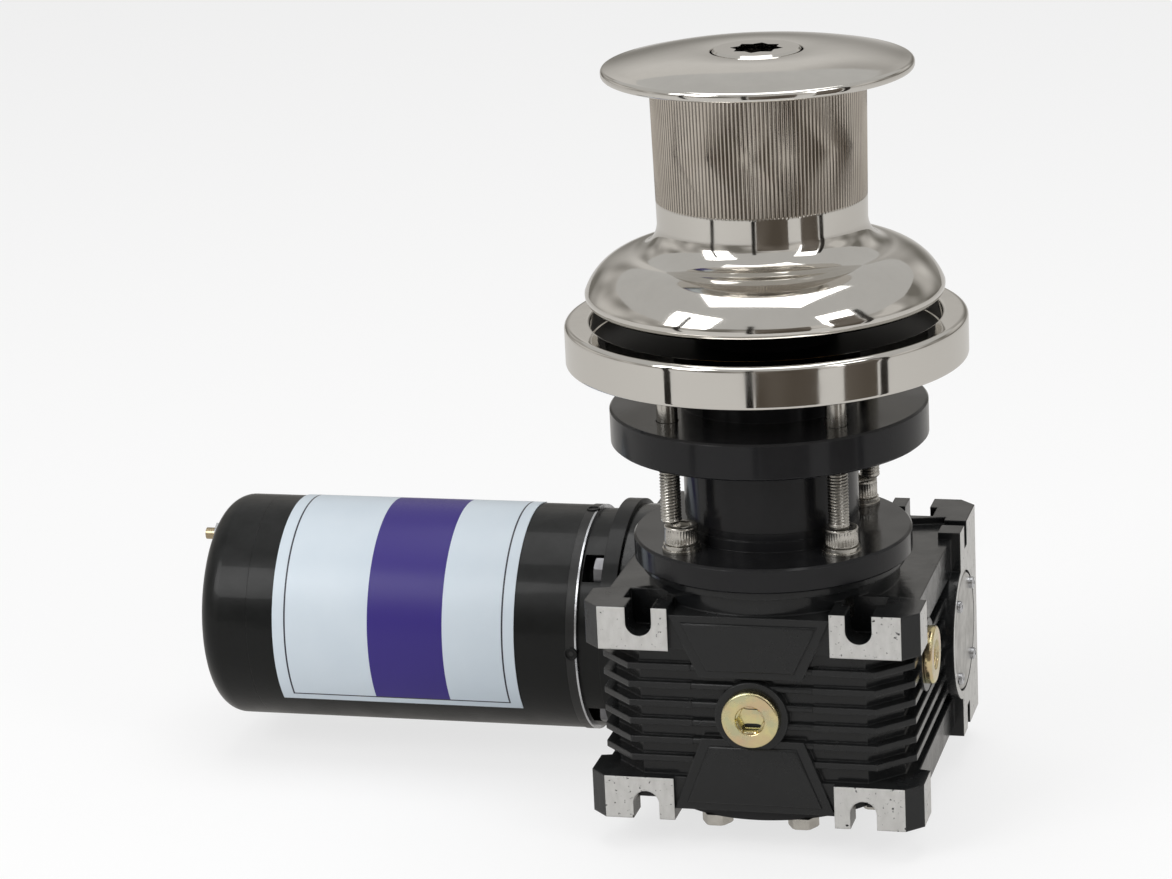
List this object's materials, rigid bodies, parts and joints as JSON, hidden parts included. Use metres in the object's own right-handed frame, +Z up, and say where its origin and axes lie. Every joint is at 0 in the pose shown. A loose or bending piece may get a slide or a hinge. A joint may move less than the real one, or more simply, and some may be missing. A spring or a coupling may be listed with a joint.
{
  "type": "deck capstan",
  "caption": "Vertical deck capstan: fluted rope drum on a deck ring, clamp flanges on studs, finned worm gearbox below deck and a side-mounted electric motor.",
  "frame": {"origin": "centre of the deck ring's underside, on the drum's axis", "axes": "+Z up along the drum's axis, away from the deck; the motor lies along -X behind the drum's axis; the gearbox's front feet face -Y"},
  "size_m": [0.409, 0.2255, 0.3756],
  "materials": {
    "deck_ring": "polished",
    "deck_ring_bush": "machined",
    "mounting_spool": "gloss black",
    "spool_shaft_seal": "moulded",
    "deck_studs": "plain",
    "spool_screws": "plain",
    "spool_washers": "plain",
    "spool_spring_washers": "plain",
    "drum": "polished, fluted",
    "drum_bush": "machined",
    "main_shaft": "ground",
    "drive_cone": "machined",
    "drive_cone_key": "ground",
    "clutch_washer": "machined",
    "clutch_nut": "polished",
    "gearbox_housing": "black, machined foot faces",
    "bottom_cover": "black",
    "bottom_cover_bolts": "plain",
    "oil_plugs": "zinc, yellow passivated",
    "worm_end_cover": "machined",
    "worm_end_cover_screws": "plain",
    "worm_wheel_rim": "hobbed bronze",
    "worm_wheel_hub": "machined",
    "worm_wheel_key": "ground",
    "worm": "ground",
    "wheel_spacers": "turned",
    "main_bearing_outer_rings": "ground",
    "main_bearing_inner_rings": "ground",
    "worm_bearing_outer_rings": "ground",
    "worm_bearing_inner_rings": "ground",
    "worm_bearing_carrier": "machined",
    "motor_front_cap": "satin black",
    "motor_seam_ring": "machined",
    "motor_casing": "satin black",
    "motor_rear_cap": "satin black",
    "motor_label": "printed film, left bare",
    "motor_flange_bolts": "plain",
    "motor_tie_bolts": "plain",
    "motor_magnets": "sintered",
    "armature_shaft": "ground",
    "armature_core": "laminated",
    "armature_windings": "enamelled copper",
    "commutator": "copper",
    "brush_ring": "moulded",
    "brushes": "carbon",
    "motor_bearing_outer_rings": "ground",
    "motor_bearing_inner_rings": "ground",
    "coupling_sleeve": "turned",
    "terminal_studs": "plain",
    "terminal_insulators": "moulded",
    "terminal_nuts": "plain"
  },
  "bodies": {
    "housing": {"deck_ring": "deck_ring", "deck_ring_bush": "deck_ring_bush", "mounting_spool": "mounting_spool", "spool_shaft_seal": "spool_shaft_seal", "deck_studs": "deck_studs", "spool_screws": "spool_screws", "spool_washers": "spool_washers", "spool_spring_washers": "spool_spring_washers", "gearbox_housing": "gearbox_housing", "bottom_cover": "bottom_cover", "bottom_cover_bolts": "bottom_cover_bolts", "oil_plugs": "oil_plugs", "worm_end_cover": "worm_end_cover", "worm_end_cover_screws": "worm_end_cover_screws", "main_bearing_outer_rings": "main_bearing_outer_rings", "worm_bearing_outer_rings": "worm_bearing_outer_rings", "worm_bearing_carrier": "worm_bearing_carrier", "motor_front_cap": "motor_front_cap", "motor_seam_ring": "motor_seam_ring", "motor_casing": "motor_casing", "motor_rear_cap": "motor_rear_cap", "motor_label": "motor_label", "motor_flange_bolts": "motor_flange_bolts", "motor_tie_bolts": "motor_tie_bolts", "motor_magnets": "motor_magnets", "brush_ring": "brush_ring", "brushes": "brushes", "motor_bearing_outer_rings": "motor_bearing_outer_rings", "terminal_studs": "terminal_studs", "terminal_insulators": "terminal_insulators", "terminal_nuts": "terminal_nuts"},
    "drive_shaft": {"main_shaft": "main_shaft", "drive_cone": "drive_cone", "drive_cone_key": "drive_cone_key", "clutch_washer": "clutch_washer", "worm_wheel_rim": "worm_wheel_rim", "worm_wheel_hub": "worm_wheel_hub", "worm_wheel_key": "worm_wheel_key", "wheel_spacers": "wheel_spacers", "main_bearing_inner_rings": "main_bearing_inner_rings"},
    "drum": {"drum": "drum", "drum_bush": "drum_bush"},
    "clutch_nut": {"clutch_nut": "clutch_nut"},
    "rotor": {"worm": "worm", "worm_bearing_inner_rings": "worm_bearing_inner_rings", "coupling_sleeve": "coupling_sleeve", "armature_shaft": "armature_shaft", "armature_core": "armature_core", "armature_windings": "armature_windings", "commutator": "commutator", "motor_bearing_inner_rings": "motor_bearing_inner_rings"}
  },
  "joints": [
    {"name": "rotor_spin", "type": "hinge", "parent": "housing", "child": "rotor", "pos_m": [0, 0.07, -0.1595], "axis": [1, 0, 0], "continuous": true},
    {"name": "drive_spin", "type": "hinge", "parent": "housing", "child": "drive_shaft", "pos_m": [0, 0, 0], "axis": [0, 0, 1], "continuous": true},
    {"name": "drum_spin", "type": "hinge", "parent": "drive_shaft", "child": "drum", "pos_m": [0, 0, 0], "axis": [0, 0, 1], "continuous": true},
    {"name": "nut_turn", "type": "hinge", "parent": "drive_shaft", "child": "clutch_nut", "pos_m": [0, 0, 0], "axis": [0, 0, 1], "range_deg": [0, 180]}
  ],
  "couplings": [
    {"joint": "drive_spin", "follows": "rotor_spin", "ratio": 0.03125}
  ]
}
